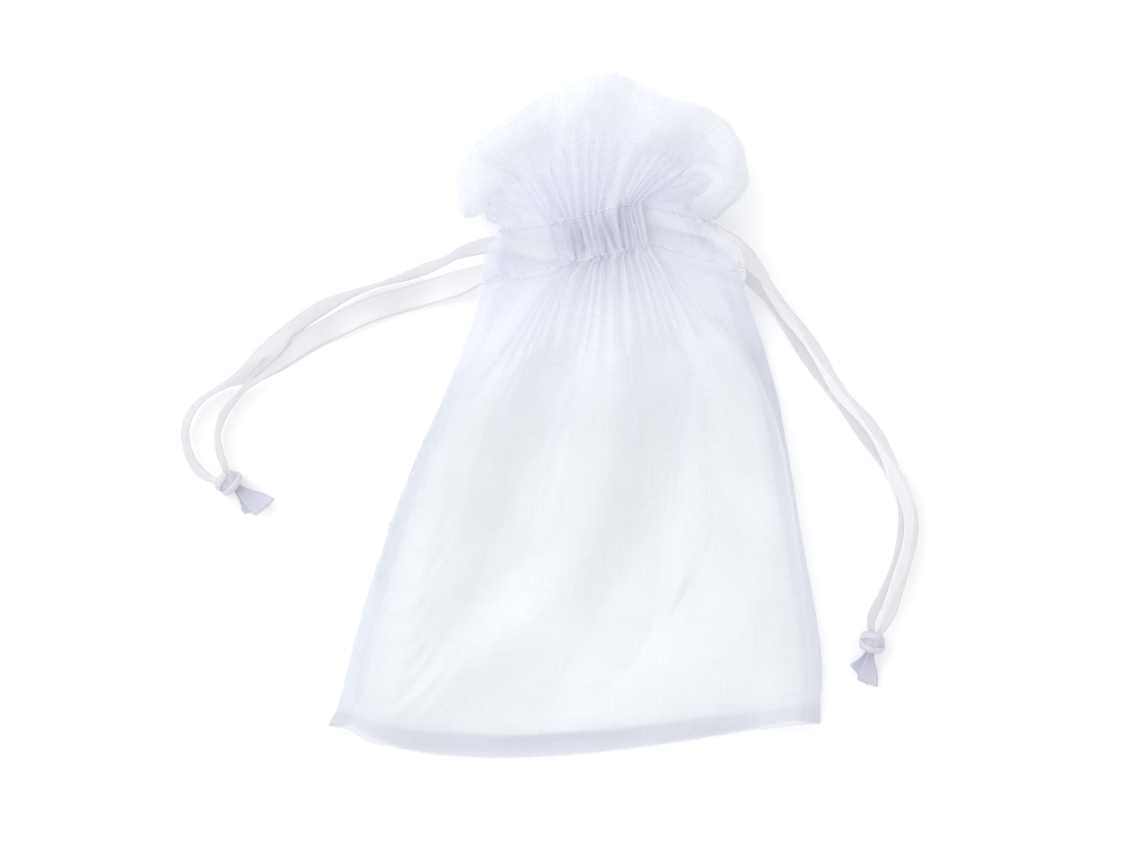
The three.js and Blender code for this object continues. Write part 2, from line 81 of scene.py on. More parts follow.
ROUTES = {
    "left_upper_strand": metres([
        (-6.6, 33, HIGH), (-10.2, 32.8, HIGH), (-14, 33.6, HIGH), (-18.4, 34.5, HIGH), (-24.5, 33.2, 6.6),
        (-31, 30.4, 4), (-38.2, 27.4, 2), (-47, 24.3, FLOOR), (-53.2, 21.4, 1.7), (-58.8, 17.4, 3.2),
        (-64.6, 11.4, STACKED), (-70, 6, STACKED), (-75, 3.4, 2.4), (-79, 0.3, FLOOR), (-81.2, -4.2, FLOOR),
        (-80.9, -8.6, FLOOR), (-79, -12.6, 1.4), (-75.6, -15.2, 1.9),
    ]),
    "left_lower_strand": metres([
        (-6.6, 33, LOW), (-10, 32.1, LOW), (-13.2, 31.3, LOW), (-17, 30, LOW), (-21.3, 28.7, LOW),
        (-28, 26, 3.2), (-35.9, 23.4, FLOOR), (-44.7, 20.4, FLOOR), (-51.5, 17, FLOOR), (-58.1, 13.2, FLOOR),
        (-64.8, 8.4, FLOOR), (-70.6, 2.6, FLOOR), (-73.6, -1.6, FLOOR), (-74.7, -5.6, FLOOR),
        (-74.3, -9.2, FLOOR), (-73.4, -11.8, 1.7),
    ]),
    "right_outer_strand": metres([
        (9.9, 40.9, HIGH), (13.6, 40.1, HIGH), (18.3, 39.2, HIGH), (23.6, 38, HIGH), (28.4, 35.1, HIGH),
        (33.4, 30.6, 6), (38.7, 25, 3.4), (43.8, 18.3, FLOOR), (50.6, 8.8, FLOOR), (57.6, 0.4, FLOOR),
        (62.2, -6.3, FLOOR), (65.6, -12.6, FLOOR), (67, -18.6, FLOOR), (66.2, -26, FLOOR),
        (63.6, -34.4, 1.7), (61.7, -39.3, 2.2),
    ]),
    "right_inner_strand": metres([
        (9.9, 40.9, LOW), (13.6, 40.1, LOW), (18.3, 38.9, LOW), (23.2, 37.4, LOW), (27.7, 34.6, LOW),
        (31.8, 29.4, 3.6), (36.6, 23.2, 1.9), (41.5, 16.6, FLOOR), (48.3, 7.2, FLOOR), (55.3, -1.2, FLOOR),
        (59.8, -7.6, FLOOR), (62.8, -13.4, FLOOR), (64, -18.8, FLOOR), (63.3, -25.4, FLOOR),
        (61, -32.6, FLOOR), (58.7, -39, 1.9),
    ]),
}

# ---- Camera, floor and light ----

CAMERA_AIM = Vector((-3.4, -2.0, 0.0)) * MM
CAMERA_HEIGHT = 547.0 * MM
CAMERA_ROLL = math.radians(2.0)
LENS = 85.0  # millimetres, on a 36 mm sensor

FLOOR_HALF = 2.0  # metres, as are the key light's place and size
FLOOR_GREY = 0.93
FLOOR_GLOW = 0.12
SKY = 0.9
KEY_PLACE = (-0.75, 0.5, 0.75)
KEY_SIZE = 1.2
KEY_POWER = 5.4
SHEER_LAYERS = 40  # how many see-through surfaces a ray may cross, as pleats stack many
LIGHT_BOUNCES = 8  # between those layers


def add(name, data):
    thing = bpy.data.objects.new(name, data)
    bpy.context.scene.collection.objects.link(thing)
    return thing


def set_inputs(node, values):
    for name, value in values.items():
        node.inputs[name].default_value = value


def make_camera():
    data = bpy.data.cameras.new("camera")
    data.lens = LENS
    data.sensor_width = 36.0
    data.clip_start = 0.01
    camera = add("camera", data)
    camera.location = CAMERA_AIM + Vector((0, 0, CAMERA_HEIGHT))
    camera.rotation_euler = (0, 0, CAMERA_ROLL)
    bpy.context.scene.camera = camera


def area_light(name, place, size, watts):
    data = bpy.data.lights.new(name, "AREA")
    data.shape = "DISK"
    data.size = size
    data.energy = watts
    lamp = add(name, data)
    lamp.location = place
    lamp.rotation_euler = (-Vector(place)).to_track_quat("-Z", "Y").to_euler()


def make_stage():
    mesh = bpy.data.meshes.new("floor")
    half = FLOOR_HALF
    corners = [(-half, -half, 0), (half, -half, 0), (half, half, 0), (-half, half, 0)]
    mesh.from_pydata(corners, [], [(0, 1, 2, 3)])
    floor = add("floor", mesh)
    material = bpy.data.materials.new("floor")
    material.use_nodes = True
    set_inputs(material.node_tree.nodes["Principled BSDF"], {
        "Base Color": (FLOOR_GREY, FLOOR_GREY, FLOOR_GREY, 1),
        "Emission Color": (1, 1, 1, 1),
        "Emission Strength": FLOOR_GLOW,
        "Roughness": 0.9,
        "Specular IOR Level": 0.1,
    })
    mesh.materials.append(material)

    world = bpy.data.worlds.new("studio")
    bpy.context.scene.world = world
    world.use_nodes = True
    set_inputs(world.node_tree.nodes["Background"], {"Color": (1, 1, 1, 1), "Strength": SKY})
    area_light("key", KEY_PLACE, KEY_SIZE, KEY_POWER)
    bpy.context.scene.view_settings.view_transform = "Standard"
    bpy.context.scene.cycles.transparent_max_bounces = SHEER_LAYERS
    bpy.context.scene.cycles.diffuse_bounces = LIGHT_BOUNCES


make_camera()
make_stage()

# ---- Node helpers ----

BANDS_PER_UNIT = 0.314  # wave texture scale that gives one band to a metre


class Nodes:
    """Short calls for a material's node tree."""

    def __init__(self, name):
        self.material = bpy.data.materials.new(name)
        self.material.use_nodes = True
        self.tree = self.material.node_tree
        self.shader = self.tree.nodes["Principled BSDF"]
        self.output = self.tree.nodes["Material Output"]

    def node(self, kind, **settings):
        made = self.tree.nodes.new(kind)
        for key, value in settings.items():
            setattr(made, key, value)
        return made

    def link(self, output, socket):
        self.tree.links.new(output, socket)

    def value(self, socket, value):
        """Links an output to a socket, or sets a plain number."""
        if isinstance(value, bpy.types.NodeSocket):
            self.link(value, socket)
        else:
            socket.default_value = value

    def maths(self, operation, *values):
        made = self.node("ShaderNodeMath", operation=operation)
        for socket, value in zip(made.inputs, values):
            self.value(socket, value)
        return made.outputs[0]

    def mapped(self, source, scale):
        made = self.node("ShaderNodeMapping")
        self.link(source, made.inputs["Vector"])
        set_inputs(made, {"Scale": scale})
        return made.outputs[0]

    def noise(self, vector, scale, detail=2.0):
        made = self.node("ShaderNodeTexNoise")
        self.link(vector, made.inputs["Vector"])
        set_inputs(made, {"Scale": scale, "Detail": detail})
        return made.outputs["Fac"]

    def threads(self, vector, pitch, direction):
        """A rounded ridge for each thread, pitch metres apart."""
        made = self.node("ShaderNodeTexWave", wave_type="BANDS", bands_direction=direction)
        self.link(vector, made.inputs["Vector"])
        set_inputs(made, {"Scale": BANDS_PER_UNIT / pitch, "Distortion": 0.0})
        return made.outputs["Fac"]

    def ramp(self, factor, tones, tint=1.0):
        """From one tone to a lighter one. tint below 1 makes both greyer and a little bluer, as painted
        shade.
        """
        made = self.node("ShaderNodeValToRGB")
        self.link(factor, made.inputs["Fac"])
        for element, place, (red, green, blue) in zip(made.color_ramp.elements, (0.3, 0.7), tones):
            element.position = place
            element.color = (red * tint, green * tint, blue * math.sqrt(tint), 1)
        return made.outputs["Color"]

    def bump(self, height, strength, distance):
        made = self.node("ShaderNodeBump")
        self.link(height, made.inputs["Height"])
        set_inputs(made, {"Strength": strength, "Distance": distance})
        self.link(made.outputs[0], self.shader.inputs["Normal"])
        return made.outputs[0]

    def mix_colour(self, factor, first, second):
        made = self.node("ShaderNodeMix", data_type="RGBA")
        self.link(factor, made.inputs["Factor"])
        colours = {socket.name: socket for socket in made.inputs if socket.type == "RGBA"}
        self.link(first, colours["A"])
        self.link(second, colours["B"])
        return next(socket for socket in made.outputs if socket.type == "RGBA")

    def lit_through(self, colour, share, normal=None):
        """The shader, with a share of the light coming through from behind instead."""
        glow = self.node("ShaderNodeBsdfTranslucent")
        self.link(colour, glow.inputs["Color"])
        if normal is not None:
            self.link(normal, glow.inputs["Normal"])
        return self.mix_shader(share, self.shader.outputs[0], glow.outputs[0])

    def mix_shader(self, factor, first, second):
        made = self.node("ShaderNodeMixShader")
        self.value(made.inputs[0], factor)
        self.link(first, made.inputs[1])
        self.link(second, made.inputs[2])
        return made.outputs[0]

    def uv(self):
        return self.node("ShaderNodeUVMap", uv_map="cloth").outputs[0]


THREAD_PITCH = 0.34 * MM
NECK_AT = (BODY_CLOTH + CASING_CLOTH / 2) * MM  # along the cloth, where the gathers are tightest
GATHER_LIGHT_FROM = 2.0 * MM  # from there, where the painted light and lavender tint of the stacked gathers starts to fade
GATHER_LIGHT_REACH = 40.0 * MM  # and where it has gone
RAGGED = 22.0 * MM  # how uneven the edge of that fade is
SLUB_ACROSS, SLUB_ALONG = 2200, 70  # noise scale across and along a thread's thick places
SLUB_TONE, CLOUD_TONE = 0.22, 0.78  # shares of the cloth's changes of tone
THREADS_COVER = 0.08  # how much more cloth hides on its threads than between them
SLUBS_COVER = 0.1  # and at its slubs than away from them
ORGANZA_GLOW = 0.5  # share of its light that comes through from behind
SATIN_GLOW = 0.4

# The darkest and lightest tone of each kind of cloth. The gathers' tones are painted light and shade,
# lighter and lavender blue, in place of the look that light gives the stacked gathers near the neck.
OPEN_TONES = ((0.85, 0.87, 0.895), (0.925, 0.94, 0.955))
PAINTED_GATHER_LIGHT_TONES = ((0.9, 0.91, 0.985), (0.965, 0.97, 1.0))
SATIN_TONES = ((0.92, 0.92, 0.945), (0.98, 0.98, 0.985))
THREAD_TONES = ((0.76, 0.77, 0.88), (0.86, 0.87, 0.95))


def organza(name, cover, tint=1.0):
    """Sheer plain weave. cover is how much one layer hides, and tint below 1 is greyer, as painted shade.
    Its colour turns from white to lavender blue towards the neck, by cloth coordinates, so it runs on across
    the pieces: painted light and shade, lighter and bluer in place of the look that light gives the stacked
    gathers."""
    n = Nodes(name)
    weave = n.uv()
    warp = n.threads(weave, THREAD_PITCH, "X")
    weft = n.threads(weave, THREAD_PITCH, "Y")
    grid = n.maths("MAXIMUM", warp, weft)
    slub_warp = n.noise(n.mapped(weave, (SLUB_ACROSS, SLUB_ALONG, 1)), 1.0)
    slub_weft = n.noise(n.mapped(weave, (SLUB_ALONG, SLUB_ACROSS, 1)), 1.0)
    slubs = n.maths("MULTIPLY", n.maths("ADD", slub_warp, slub_weft), 0.5)
    cloudy = n.noise(weave, 55.0, 3.0)
    tone = n.maths("ADD", n.maths("MULTIPLY", slubs, SLUB_TONE), n.maths("MULTIPLY", cloudy, CLOUD_TONE))
    # tint below 1 darkens this into painted shade, as for the seam allowance.
    open_cloth = n.ramp(tone, OPEN_TONES, tint)
    # Painted light and shade: near the neck the cloth is lighter and lavender blue, in place of the look
    # that light gives the stacked gathers.
    painted_gather_light = n.ramp(tone, PAINTED_GATHER_LIGHT_TONES)
    along = n.node("ShaderNodeSeparateXYZ")
    n.link(weave, along.inputs[0])
    away = n.maths("ABSOLUTE", n.maths("SUBTRACT", along.outputs["Y"], NECK_AT))
    ragged = n.maths("MULTIPLY_ADD", n.noise(n.mapped(weave, (420, 40, 1)), 1.0), RAGGED, -RAGGED / 2)
    # Mask of that painted light and shade, strongest at the neck.
    gather_light_mask = n.node("ShaderNodeMapRange", interpolation_type="SMOOTHSTEP")
    n.link(n.maths("ADD", away, ragged), gather_light_mask.inputs["Value"])
    set_inputs(gather_light_mask, {"From Min": GATHER_LIGHT_FROM, "From Max": GATHER_LIGHT_REACH, "To Min": 1.0, "To Max": 0.0})
    colour = n.mix_colour(gather_light_mask.outputs["Result"], open_cloth, painted_gather_light)
    n.link(colour, n.shader.inputs["Base Color"])
    woven = n.maths("MULTIPLY_ADD", grid, THREADS_COVER, cover - 0.05)
    covered = n.maths("MULTIPLY_ADD", slubs, SLUBS_COVER, n.maths("SUBTRACT", woven, SLUBS_COVER / 2))
    bump = n.bump(n.maths("ADD", n.maths("MULTIPLY", grid, 0.5), slubs), 0.07, 0.1 * MM)
    cloth_shader = n.lit_through(colour, ORGANZA_GLOW, bump)
    open_air = n.node("ShaderNodeBsdfTransparent").outputs[0]
    n.link(n.mix_shader(covered, open_air, cloth_shader), n.output.inputs["Surface"])
    set_inputs(n.shader, {
        "Roughness": 0.48,
        "Specular IOR Level": 0.35,
        "Sheen Weight": 0.3,
        "Sheen Roughness": 0.35,
        "Sheen Tint": (0.93, 0.94, 1, 1),
    })
    return n.material


def satin(name, tint=1.0):
    """Satin ribbon: fine threads lengthwise, with some light coming through. tint below 1 is greyer, as
    painted shade.
    """
    n = Nodes(name)
    strip = n.uv()
    threads = n.threads(strip, 0.16 * MM, "X")
    streaks = n.noise(n.mapped(strip, (3000, 60, 1)), 1.0)
    colour = n.ramp(streaks, SATIN_TONES, tint)
    n.link(colour, n.shader.inputs["Base Color"])
    n.bump(n.maths("ADD", threads, streaks), 0.3, 0.06 * MM)
    n.link(n.lit_through(colour, SATIN_GLOW), n.output.inputs["Surface"])
    set_inputs(n.shader, {
        "Roughness": 0.34, "Anisotropic": 0.6, "Sheen Weight": 0.3, "Sheen Roughness": 0.4,
    })
    return n.material


def sewing_thread(name):
    n = Nodes(name)
    ply = n.noise(n.mapped(n.node("ShaderNodeTexCoord").outputs["Object"], (9000, 9000, 9000)), 1.0)
    n.link(n.ramp(ply, THREAD_TONES), n.shader.inputs["Base Color"])
    n.bump(ply, 0.4, 0.05 * MM)
    set_inputs(n.shader, {"Roughness": 0.5})
    return n.material


BODY_ORGANZA = organza("body_organza", 0.55)
# The seam allowance is a greyer, bluer copy of the organza: painted shade for the doubled cloth.
SHADED_SEAM_ORGANZA = organza("seam_organza", 0.64, 0.86)
CASING_ORGANZA = organza("casing_organza", 0.5)
FRILL_ORGANZA = organza("frill_organza", 0.35)
SATIN = satin("satin")
# The tails and knots are greyer, bluer copies of the satin: painted shade.
SHADED_TAIL_SATIN = satin("shaded_tail_satin", 0.86)
SHADED_KNOT_SATIN = satin("shaded_knot_satin", 0.92)
THREAD = sewing_thread("thread")

# ---- Mesh helpers ----


def new_mesh(name, points, faces, material, uv=None):
    """A smooth mesh from points in metres, with their cloth coordinates in metres where it has any."""
    mesh = bpy.data.meshes.new(name)
    mesh.from_pydata(points.reshape(-1, 3).tolist(), [], faces)
    if uv is not None:
        layer = mesh.uv_layers.new(name="cloth")
        corners = uv.reshape(-1, 2)[np.concatenate(faces)]
        layer.data.foreach_set("uv", corners.astype(np.float32).ravel())
    mesh.materials.append(material)
    mesh.polygons.foreach_set("use_smooth", [True] * len(mesh.polygons))
    mesh.update()
    return add(name, mesh)


def distances(path):
    """How far along the path each of its points is."""
    return np.concatenate([[0], np.cumsum(np.linalg.norm(np.diff(path, axis=0), axis=1))])


def grid_mesh(name, points, uvs, material):
    """A smooth sheet from a grid of points, rows x columns x 3, in millimetres, with uvs in metres."""
    rows, columns = points.shape[:2]
    index = np.arange(rows * columns).reshape(rows, columns)
    quads = np.stack([index[:-1, :-1], index[:-1, 1:], index[1:, 1:], index[1:, :-1]], -1).reshape(-1, 4)
    return new_mesh(name, points * MM, quads.tolist(), material, uvs)


def between(a, b, start, end, t):
    return ((end - t) * a + (t - start) * b) / (end - start)


def smooth_path(points, spacing):
    """Points along a centripetal Catmull-Rom curve, spacing apart, and their distances along it."""
    p = np.array(points, float)
    p = np.vstack([2 * p[0] - p[1], p, 2 * p[-1] - p[-2]])
    fine = []
    for a, b, c, d in zip(p[:-3], p[1:-2], p[2:-1], p[3:]):
        knots = [np.linalg.norm(after - before) ** 0.5 for before, after in ((a, b), (b, c), (c, d))]
        t0, t1, t2, t3 = np.cumsum([0, *knots])
        for t in np.linspace(t1, t2, 24, endpoint=False):
            ab = between(a, b, t0, t1, t)
            bc = between(b, c, t1, t2, t)
            cd = between(c, d, t2, t3, t)
            fine.append(between(between(ab, bc, t0, t2, t), between(bc, cd, t1, t3, t), t1, t2, t))
    fine = np.array([*fine, p[-2]])
    distance = distances(fine)
    count = max(2, round(distance[-1] / spacing) + 1)
    even = np.linspace(0, distance[-1], count)
    return np.stack([np.interp(even, distance, fine[:, i]) for i in range(3)], 1), even


def smoothstep(value, low, high):
    share = np.clip((value - low) / (high - low), 0, 1)
    return share * share * (3 - 2 * share)


def unit(vectors):
    return vectors / np.maximum(np.linalg.norm(vectors, axis=-1, keepdims=True), 1e-12)


def strip_mesh(name, path, distance, across, width, thickness, material, curl=0.0, slant=0.0):
    """A flat closed strip swept along path, with its width along across. All sizes in metres.
    curl bends its section into a shallow channel, and slant cuts its far end at an angle."""
    tangent = unit(np.gradient(path, axis=0))
    across = unit(across - (across * tangent).sum(1, keepdims=True) * tangent)
    up = np.cross(across, tangent)
    share = np.linspace(-1, 1, 9)
    lift = curl * (share**2 - 0.5)
    edge = np.sqrt(np.clip(1 - np.abs(share) ** 8, 0.04, 1))
    width = np.broadcast_to(width, distance.shape)
    half = 0.5 * edge * thickness
    top = np.column_stack([share, lift + half])
    under = np.column_stack([share, lift - half])[::-1]
    section = np.concatenate([top, under])
    sides = len(section)
    points = (
        path[:, None]
        + across[:, None] * (section[None, :, :1] * width[:, None, None] / 2)
        + up[:, None] * section[None, :, 1:]
    )
    cut_back = slant * smoothstep(distance / distance[-1], 0.5, 1.0)
    from_edge = (1 + section[None, :, :1]) * width[:, None, None] / 2
    points -= tangent[:, None] * (cut_back[:, None, None] * from_edge)
    rows = len(path)
    index = np.arange(rows * sides).reshape(rows, sides)
    turned = np.roll(index, -1, axis=1)
    quads = np.stack([index[:-1], index[1:], turned[1:], turned[:-1]], -1).reshape(-1, 4)
    faces = [*quads.tolist(), index[0].tolist(), index[-1][::-1].tolist()]
    u = section[:, 0][None, :] * width[:, None] / 2
    v = np.broadcast_to(distance[:, None], u.shape)
    return new_mesh(name, points, faces, material, np.stack([u, v], -1))


# ---- Ribbons ----

# How far each strand is turned on edge, in degrees, at shares of its length. 0 lies flat.
TWISTS = {
    "left_upper_strand": [
        (0, 0), (0.1, 14), (0.22, 74), (0.45, 76), (0.6, 34), (0.72, 72), (0.85, 84), (1, 60),
    ],
    "left_lower_strand": [(0, 0), (0.12, 12), (0.5, 8), (0.66, 30), (0.78, 80), (0.9, 84), (1, 60)],
    "right_outer_strand": [(0, 0), (0.14, 14), (0.27, 74), (0.6, 72), (0.72, 82), (0.85, 72), (1, 50)],
    "right_inner_strand": [(0, 0), (0.14, 14), (0.27, 68), (0.6, 70), (0.7, 80), (0.85, 70), (1, 50)],
}


def turned_side(path, twist):
    """The direction of a ribbon's width along path, turned from flat by twist, in radians."""
    tangent = unit(np.gradient(path, axis=0))
    flat = unit(np.cross(tangent, [0, 0, 1.0]))
    up = np.cross(flat, tangent)
    return flat * np.cos(twist)[:, None] + up * np.sin(twist)[:, None]


def ribbon_piece(piece, body, node):
    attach(piece, body)
    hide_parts(node)


IN_KNOT = 0.42  # share of a strand's width left where its knot squeezes it
IN_CASING = 0.62  # and where it is bunched in the casing
KNOT_REACH = (1.5 * MM, 8 * MM)  # from the knot, where a strand's width starts and stops growing back
CASING_REACH = (12 * MM, 22 * MM)  # and the same from its end in the casing
WANDER = 9  # degrees that a strand's twist wanders by


def ribbon_strand(name, body, knot, exit_index):
    """One free strand, bunched in the casing and in its knot, and its full width between them."""
    route = [*ROUTES[name], tuple(knot["centre"] * MM)]
    path, distance = smooth_path(route, 0.5 * MM)
    shares, degrees = zip(*TWISTS[name])
    share = distance / distance[-1]
    wander = WANDER * np.sin(2 * math.pi * (share * 5.3 + len(name) * 0.31)) * np.sin(math.pi * share)
    twist = np.radians(np.interp(share, shares, degrees) + wander)
    drawn_in = smoothstep(distance[-1] - distance, *KNOT_REACH)
    let_out = smoothstep(distance, *CASING_REACH)
    squeezed = IN_KNOT + (1 - IN_KNOT) * drawn_in
    bunched = IN_CASING + (1 - IN_CASING) * let_out
    width = RIBBON_WIDTH * MM * squeezed * bunched
    lowest = 0.2 * MM + width / 2 * np.abs(np.sin(twist)) + 0.5 * RIBBON_THICKNESS * MM
    path[:, 2] = np.maximum(path[:, 2], lowest)
    piece = strip_mesh(name + "_ribbon", path, distance, turned_side(path, twist), width,
                       RIBBON_THICKNESS * MM, SATIN, curl=0.45 * MM)
    ribbon_piece(piece, body, name)
    return piece, path, ROUTES[name][exit_index], distance[-1]


def along_heading(knot, along, across, up):
    """A point of a knot's own frame, in millimetres."""
    heading = math.radians(knot["heading"])
    ahead = np.array([math.cos(heading), math.sin(heading), 0.0])
    beside = np.array([-math.sin(heading), math.cos(heading), 0.0])
    return knot["centre"] + along * ahead + across * beside + np.array([0.0, 0.0, up])


KNOT_TURNS = [  # radius, half width, thickness, slant, forward, how far round in half turns
    (1.55, 1.55, 0.75, 0.25, -0.2, (0.0, 2.15)),
    (2.0, 0.85, 0.6, -0.75, -0.7, (0.35, 1.75)),
    (1.95, 0.8, 0.6, 0.85, 0.75, (-0.5, 1.3)),
]


def knot_piece(node, body, knot):
    """An overhand knot drawn tight: one broad turn of ribbon round the strands, and two narrower ones
    that slant across it."""
    parts = []
    for number, (radius, half_width, thick, slant, forward, (start, end)) in enumerate(KNOT_TURNS):
        turn = np.linspace(start, end, 40) * math.pi
        crumple = 0.12 * np.sin(7 * turn + number)
        path = np.array([
            along_heading(knot, forward + slant * math.sin(t), 1.15 * (radius + c) * math.cos(t),
                          (radius + c) * math.sin(t))
            for t, c in zip(turn, crumple)
        ]) * MM
        outwards = unit(path - knot["centre"] * MM)
        across = np.cross(unit(np.gradient(path, axis=0)), outwards)
        ends = np.sin(math.pi * np.clip((np.linspace(0, 1, len(turn)) * 5), 0, 0.5))
        width = 2 * half_width * MM * (0.55 + 0.45 * np.minimum(ends, ends[::-1]))
        parts.append(strip_mesh(f"{node}_ribbon_{number}", path, distances(path), across, width, thick * MM,
                                SHADED_KNOT_SATIN, curl=-0.3 * MM))
    for piece in parts:
        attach(piece, body)
    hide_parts(node)
    return parts


def tail_piece(node, body, knot, turned, level, twist_degrees, length):
    """A cut ribbon end, drawn narrow in the knot and opening out flat past it."""
    share = np.linspace(0, 1, 24)
    bend = math.radians(turned)
    path = np.array([
        along_heading(knot, 0.6 + length * t, length * math.tan(bend) * t * t,
                      level * math.sin(math.pi * t / 2))
        for t in share
    ]) * MM
    twist = np.radians(np.interp(share, [0, 1], twist_degrees))
    width = RIBBON_WIDTH * MM * (0.4 + 0.6 * smoothstep(share, 0.15, 0.75))
    path[:, 2] = np.maximum(path[:, 2], 0.4 * MM + width / 2 * np.abs(np.sin(twist)))
    piece = strip_mesh(node + "_ribbon", path, share * length * MM, turned_side(path, twist), width,
                       RIBBON_THICKNESS * MM, SHADED_TAIL_SATIN, curl=0.6 * MM, slant=0.35)
    ribbon_piece(piece, body, node)
    return piece


LEFT_KNOT = {"centre": np.array([-71.9, -15.4, 2.75]), "heading": -40}
RIGHT_KNOT = {"centre": np.array([59.3, -43.2, 2.75]), "heading": -104}

TAILS = {  # turned from the knot's heading in degrees, rise, twist at both ends in degrees, length
    "left_upper_tail": (8, 0.4, (50, 24), 9.2),
    "left_lower_tail": (-5, -1.6, (40, 6), 8.2),
    "right_outer_tail": (9, 0.3, (50, 28), 8.6),
    "right_inner_tail": (-7, -1.6, (30, 5), 7.6),
}
EXITS = {  # which point of each strand's route is at the casing's mouth
    "left_upper_strand": 3,
    "left_lower_strand": 4,
    "right_outer_strand": 4,
    "right_inner_strand": 4,
}
ENDS = {"left": (PULL_LEFT, LEFT_KNOT), "right": (PULL_RIGHT, RIGHT_KNOT)}


def make_ribbons():
    """Both ribbons' free ends: the knots, the tails and the strands, each attached to its side's body."""
    knots = {side: knot_piece(side + "_knot", *ENDS[side]) for side in ENDS}
    tails = {}
    for node, measures in TAILS.items():
        tails[node] = tail_piece(node, *ENDS[node.split("_")[0]], *measures)
    for name, exit_index in EXITS.items():
        side = name.split("_")[0]
        pieces = [*knots.pop(side, []), tails[name.replace("strand", "tail")]]
        piece, path, leaves, length = ribbon_strand(name, *ENDS[side], exit_index)


make_ribbons()

# ---- The cloth's places, from the CAD model ----


def plan_edges(*nodes):
    """The edges of these CAD nodes seen from above, in millimetres, as pairs of points."""
    found = []
    for name in nodes:
        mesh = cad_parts[name].data
        places = np.array([v.co[:2] for v in mesh.vertices]) / MM
        found.append(places[np.array([e.vertices[:] for e in mesh.edges])])
    return np.concatenate(found)


def reach(edges, origin, direction):
    """The furthest point of these edges from origin along direction, all in plan."""
    direction = np.array(direction, float) / np.linalg.norm(direction)
    normal = np.array([-direction[1], direction[0]])
    side = (edges - origin) @ normal
    ahead = (edges - origin) @ direction
    crossing = (side[:, 0] * side[:, 1]) < 0
    share = side[crossing, 0] / (side[crossing, 0] - side[crossing, 1])
    hits = ahead[crossing, 0] + share * (ahead[crossing, 1] - ahead[crossing, 0])
    return origin + direction * hits.max()


NECK_ACROSS = np.array([math.cos(NECK_TILT), math.sin(NECK_TILT)])
NECK_ALONG = np.array([-math.sin(NECK_TILT), math.cos(NECK_TILT)])
COLUMNS = 140  # across one side of the cloth
ROUND = 2 * COLUMNS
BODY_ROWS = 70
CASING_ROWS = 12
FRILL_ROWS = 22
ROWS = BODY_ROWS + CASING_ROWS + FRILL_ROWS + 1
ACROSS_STEP = CLOTH_WIDTH / COLUMNS
SEAM_COLUMNS = round(SEAM_WIDTH / ACROSS_STEP)
ROW_STEPS = np.concatenate([
    np.full(BODY_ROWS, BODY_CLOTH / BODY_ROWS),
    np.full(CASING_ROWS, CASING_CLOTH / CASING_ROWS),
    np.full(FRILL_ROWS, FRILL_CLOTH / FRILL_ROWS),
])
ALONG = np.concatenate([[0], np.cumsum(ROW_STEPS)])
CASING_FROM, CASING_TO = BODY_ROWS, BODY_ROWS + CASING_ROWS

# Round the cloth: columns 0 to COLUMNS are the front from left to right, and the rest is the back.
column = np.arange(ROUND)
FRONT = column <= COLUMNS
U = np.where(FRONT, column, ROUND - column) / COLUMNS
DOME = 1 - (2 * U - 1) ** 2

# Where the ribbons draw the casing's two corners out, in plan, and how much cloth goes with them.
LEFT_EAR = np.array([[-21.8, 26.4], [-21.9, 31.4], [-18.8, 36.6]])
RIGHT_EAR = np.array([[31.0, 30.0], [29.2, 35.0], [23.2, 39.2]])
EAR_CLOTH = 13.0
EAR_RISE = 4.1  # half the height of the ear's mouth, round the two strands
EAR_FOLD = 0.7  # height of the folds that the pull makes along the ear
EAR_PUCKER = 3.6  # height of the gathers where they turn into the ear
EARS_FROM = 0.74  # share of the body's length where its sides start to turn out to the ears
BOTTOM_MIDDLE = np.array([-0.7, -61.6])
BODY_SPAN = (0.012, 0.93)  # first and last row, as shares of the way from there to the casing


def body_targets():
    """Where each body row's two side seams go, in plan, and how far the bottom edge bows down."""
    edges = plan_edges("left_side_seam", "right_side_seam", "bottom_seam")
    body_end = NECK_CENTRE[:2] - NECK_ALONG * CASING_LENGTH / 2
    rows = np.linspace(*BODY_SPAN, BODY_ROWS + 1)
    into_ear = smoothstep(rows, EARS_FROM, 0.99)[:, None]
    reach_up = np.clip((rows - EARS_FROM) / 0.25, 0, 1)[:, None]
    start = np.searchsorted(rows, EARS_FROM)
    sides = []
    for way, ear in ((-1, LEFT_EAR), (1, RIGHT_EAR)):
        side = []
        for share in rows:
            centre = BOTTOM_MIDDLE + share * (body_end - BOTTOM_MIDDLE)
            across = unit((1 - share) * np.array([1.0, 0.015]) + share * NECK_ACROSS)
            side.append(reach(edges, centre, way * across))
        side = np.array(side)
        to_ear = side[start] + reach_up * (ear[0] - side[start])
        sides.append(side * (1 - into_ear) + into_ear * to_ear)
    left, right = sides
    line = left[0] + U[:COLUMNS + 1, None] * (right[0] - left[0])
    inside = np.clip(line[:, 0], left[0][0] + 5, right[0][0] - 5)
    lowest = np.array([reach(edges, np.array([x, -50.0]), (0, -1))[1] for x in inside])
    return left, right, np.minimum(lowest - line[:, 1], 0)


